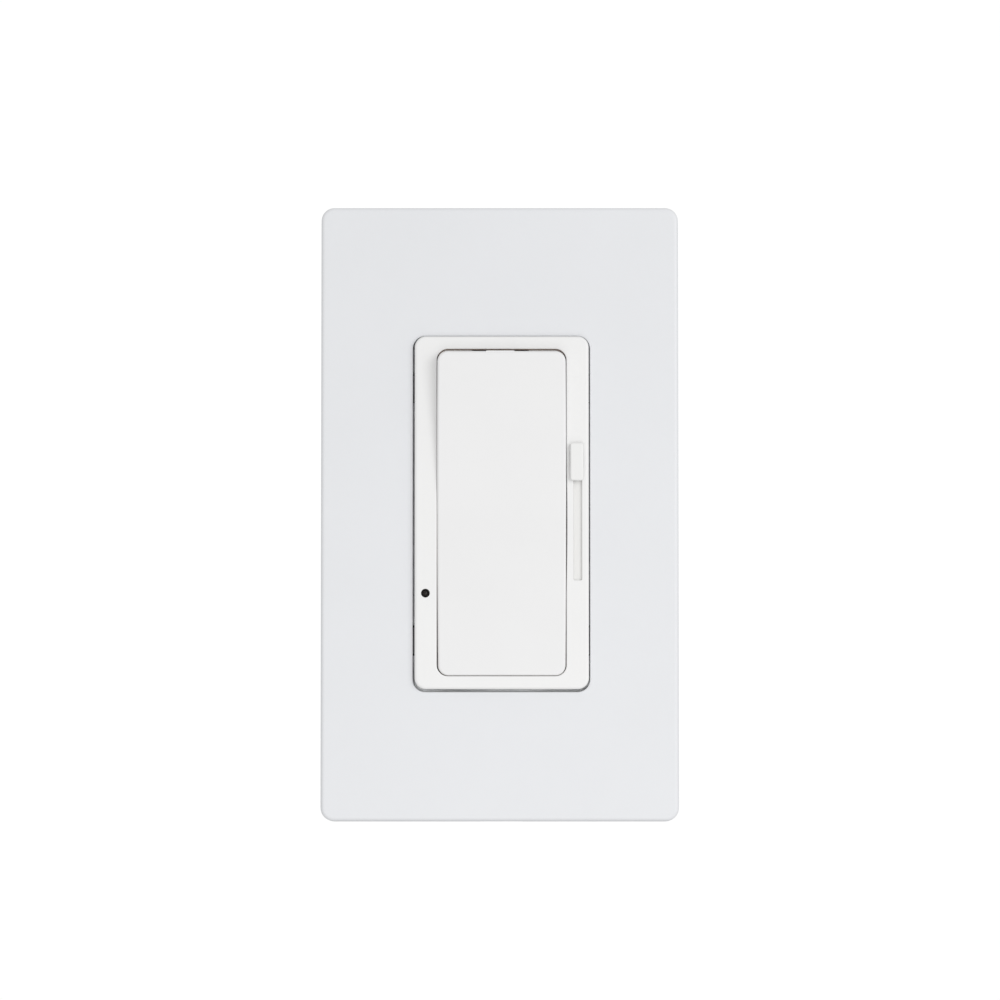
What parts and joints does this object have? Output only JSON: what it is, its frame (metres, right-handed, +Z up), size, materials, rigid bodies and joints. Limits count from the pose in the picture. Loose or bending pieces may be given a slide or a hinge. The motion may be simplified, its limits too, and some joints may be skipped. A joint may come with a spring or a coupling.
{
  "type": "slide dimmer switch",
  "caption": "Wall-mounted light dimmer with a large rocker paddle, a small vertical slide control in a slot, a locator light and a screwless wall plate.",
  "frame": {"origin": "on the wall, at the back of the yoke's top ear, on the device's centre line; the device's centre lies 51.8 mm below", "axes": "+X right seen from the room, +Y into the wall, +Z up"},
  "size_m": [0.068, 0.1098, 0.1164],
  "materials": {
    "wall_plate": "moulded white thermoplastic, satin gloss, very slightly cool",
    "adapter_plate": "moulded white thermoplastic, satin",
    "painted_screw": "white painted steel",
    "bezel": "moulded white thermoplastic, satin gloss",
    "paddle": "moulded white thermoplastic, satin gloss",
    "knob": "moulded white thermoplastic, satin gloss",
    "shutter": "thin white plastic strip",
    "nylon": "natural nylon",
    "black_plastic": "black moulded plastic",
    "retainer": "black fibre washer",
    "housing": "black thermoset, fine spark texture",
    "switch_base": "dark grey phenolic moulding",
    "phenolic": "brown phenolic board with a carbon track",
    "board": "green solder mask on glass fibre",
    "thermal_pad": "grey silicone insulating pad",
    "film_capacitor": "yellow epoxy box",
    "timing_capacitor": "green dipped film capacitor",
    "resistor": "tan lacquer with colour bands",
    "diac": "blue glass body",
    "trim_pot": "blue moulded plastic",
    "trim_rotor": "white moulded plastic",
    "led": "amber tinted epoxy",
    "smoked_lens": "smoked clear plastic light pipe, unlit",
    "choke_core": "iron powder ring, yellow coating",
    "yoke": "stamped aluminium sheet",
    "steel": "zinc plated steel",
    "spring_steel": "bright spring wire",
    "tin": "tin plated brass",
    "brass": "stamped brass",
    "copper": "bare copper wire",
    "black_wire": "black wire insulation",
    "red_wire": "red wire insulation",
    "yellow_wire": "yellow wire insulation",
    "green_wire": "green wire insulation"
  },
  "bodies": {
    "frame": {"yoke": "yoke", "wall_plate": "wall_plate", "adapter_plate": "adapter_plate", "adapter_screw_top": "painted_screw", "adapter_screw_bottom": "painted_screw", "bezel": "bezel", "box_screw_top": "steel", "box_screw_bottom": "steel", "screw_retainer_top": "retainer", "screw_retainer_bottom": "retainer", "case_screw_top_left": "steel", "case_screw_top_right": "steel", "case_screw_bottom_left": "steel", "case_screw_bottom_right": "steel", "ground_terminal": "tin", "ground_rivet": "brass", "rear_housing": "housing", "circuit_board": "board", "triac": "black_plastic", "triac_pad": "thermal_pad", "triac_screw": "steel", "triac_nut": "steel", "choke_core": "choke_core", "choke_winding": "copper", "film_capacitor": "film_capacitor", "timing_capacitor": "timing_capacitor", "resistor": "resistor", "diac": "diac", "trim_pot_body": "trim_pot", "indicator_led": "led", "indicator_lens": "smoked_lens", "switch_base": "switch_base", "common_terminal": "brass", "upper_contact": "brass", "lower_contact": "brass", "pot_frame": "steel", "pot_track": "phenolic", "black_lead": "black_wire", "black_lead_conductor": "copper", "red_lead": "red_wire", "red_lead_conductor": "copper", "yellow_lead": "yellow_wire", "yellow_lead_conductor": "copper", "green_lead": "green_wire", "green_lead_conductor": "copper"},
    "paddle": {"rocker_paddle": "paddle", "plunger_spring": "spring_steel"},
    "plunger": {"switch_plunger": "nylon"},
    "blade": {"contact_blade": "brass"},
    "slider": {"slider_knob": "knob", "slot_shutter": "shutter", "pot_lever": "black_plastic", "pot_wiper": "brass"},
    "trimmer": {"trim_pot_rotor": "trim_rotor"}
  },
  "joints": [
    {"name": "paddle_rock", "type": "hinge", "parent": "frame", "child": "paddle", "pos_m": [0, -0.0043, -0.0518], "axis": [-1, 0, 0], "range_deg": [0, 6]},
    {"name": "plunger_slide", "type": "slide", "parent": "paddle", "child": "plunger", "axis": [0, -0.9986, -0.0523], "range_m": [0, 0.0006], "stiffness_N_per_m": 40, "springref_m": -0.004, "deforming": ["plunger_spring"]},
    {"name": "blade_rock", "type": "hinge", "parent": "frame", "child": "blade", "pos_m": [0, 0.0133, -0.0518], "axis": [-1, 0, 0], "range_deg": [-12, 0]},
    {"name": "slider_slide", "type": "slide", "parent": "frame", "child": "slider", "axis": [0, 0, 1], "range_m": [-0.019, 0]},
    {"name": "trimmer_turn", "type": "hinge", "parent": "frame", "child": "trimmer", "pos_m": [0.0116, 0.0086, -0.0688], "axis": [0, 1, 0], "range_deg": [-120, 120]}
  ],
  "couplings": [
    {"joint": "blade_rock", "follows": "paddle_rock", "ratio": -2}
  ]
}
